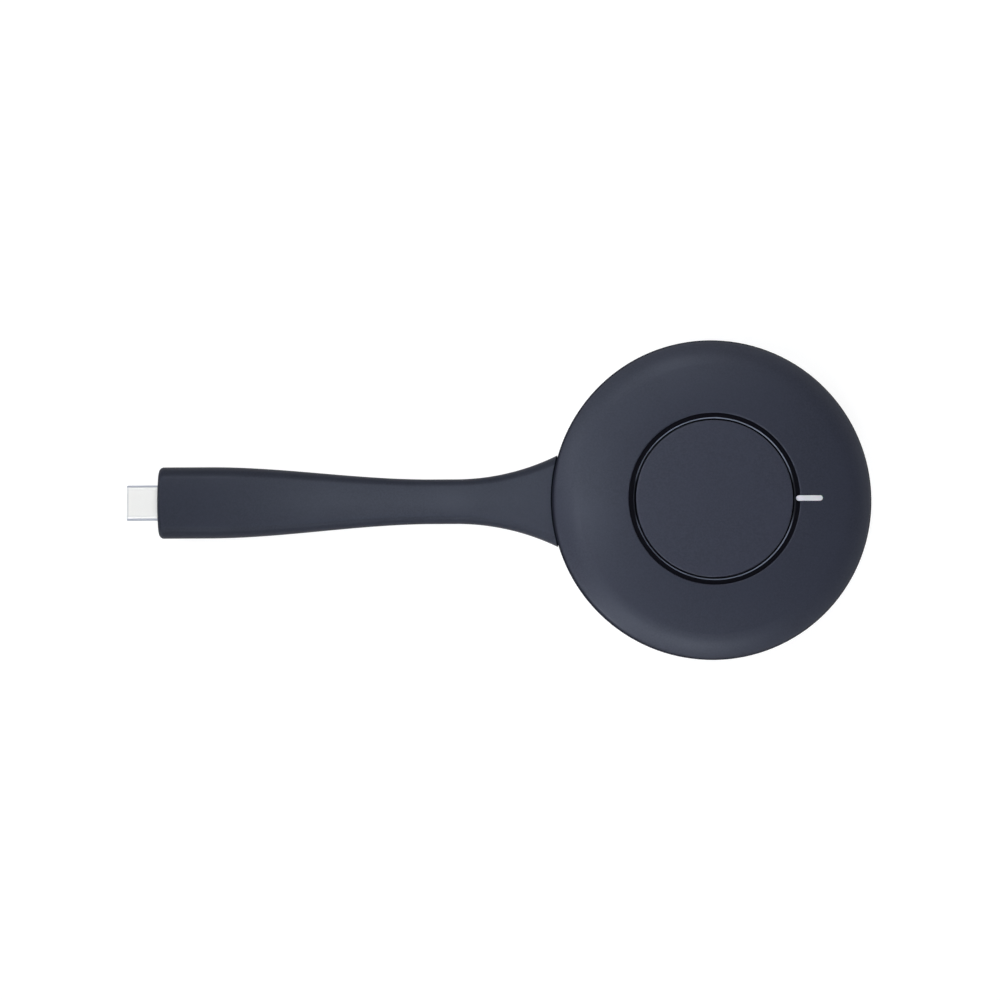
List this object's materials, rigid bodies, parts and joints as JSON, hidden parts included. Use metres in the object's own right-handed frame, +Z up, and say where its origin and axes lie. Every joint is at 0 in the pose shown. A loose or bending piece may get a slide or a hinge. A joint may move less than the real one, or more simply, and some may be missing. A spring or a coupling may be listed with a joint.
{
  "type": "wireless screen sharing dongle",
  "caption": "Flat round wireless screen sharing dongle: domed puck with a central press button, light ring and status bar, on a flexible flared neck ending in a USB-C plug.",
  "frame": {"origin": "on the puck's axis, in the plane of the rubber foot's underside", "axes": "+Z up out of the button, +X along the dongle's length from the plug towards the puck, +Y across it, to the left when looking along +X"},
  "size_m": [0.173, 0.0744, 0.0152],
  "materials": {
    "shell_slate": "matte",
    "neck_soft": "matte",
    "foot_rubber": "matte",
    "ring_black": "gloss",
    "guide_opal": "satin",
    "bar_white": "satin",
    "frame_black": "matte",
    "foam_silicone": "matte",
    "switch_black": "satin",
    "stem_ivory": "satin",
    "board_green": "satin",
    "lamp_white": "satin",
    "can_tin": "satin",
    "antenna_steel": "satin",
    "chip_black": "matte",
    "spreader_aluminium": "satin",
    "pad_grey": "matte",
    "connector_ivory": "satin",
    "wire_mixed": "satin",
    "clamp_black": "matte",
    "cable_jacket": "matte",
    "screw_steel": "satin",
    "mould_black": "matte",
    "plug_steel": "satin",
    "insulator_black": "matte",
    "contact_gold": "satin",
    "latch_steel": "satin",
    "card_green": "satin"
  },
  "bodies": {
    "puck": {"top_cover": "shell_slate", "bottom_cover": "shell_slate", "foot_pad": "foot_rubber", "housing_screws": "screw_steel", "light_ring": "ring_black", "light_guide": "guide_opal", "status_bar": "bar_white", "button_retainer": "frame_black", "return_foam": "foam_silicone", "switch_body": "switch_black", "main_board": "board_green", "board_screws": "screw_steel", "status_leds": "lamp_white", "radio_shield": "can_tin", "power_shield": "can_tin", "antenna_left": "antenna_steel", "antenna_right": "antenna_steel", "board_chips": "chip_black", "heat_spreader": "spreader_aluminium", "thermal_pad": "pad_grey", "cable_header": "connector_ivory", "cable_connector": "connector_ivory", "cable_wires": "wire_mixed", "cable_clamp": "clamp_black", "clamp_screws": "screw_steel", "cable_core": "cable_jacket", "neck_overmould": "neck_soft"},
    "button": {"button_cap": "shell_slate", "switch_stem": "stem_ivory"},
    "plug_end": {"plug_mould": "mould_black", "plug_shell": "plug_steel", "plug_insulator": "insulator_black", "plug_contacts": "contact_gold", "plug_latches": "latch_steel", "plug_card": "card_green", "plug_can": "can_tin", "plug_wires": "wire_mixed"}
  },
  "joints": [
    {"name": "button_press", "type": "slide", "parent": "puck", "child": "button", "axis": [0, 0, -1], "range_m": [0, 0.0004], "stiffness_N_per_m": 5000, "springref_m": -0.0001, "deforming": ["return_foam"]},
    {"name": "neck_flex", "type": "hinge", "parent": "puck", "child": "plug_end", "pos_m": [-0.07, 0, 0.006], "axis": [0, 1, 0], "range_deg": [-40, 40], "stiffness_Nm_per_rad": 0.12, "deforming": ["neck_overmould", "cable_core"]}
  ]
}
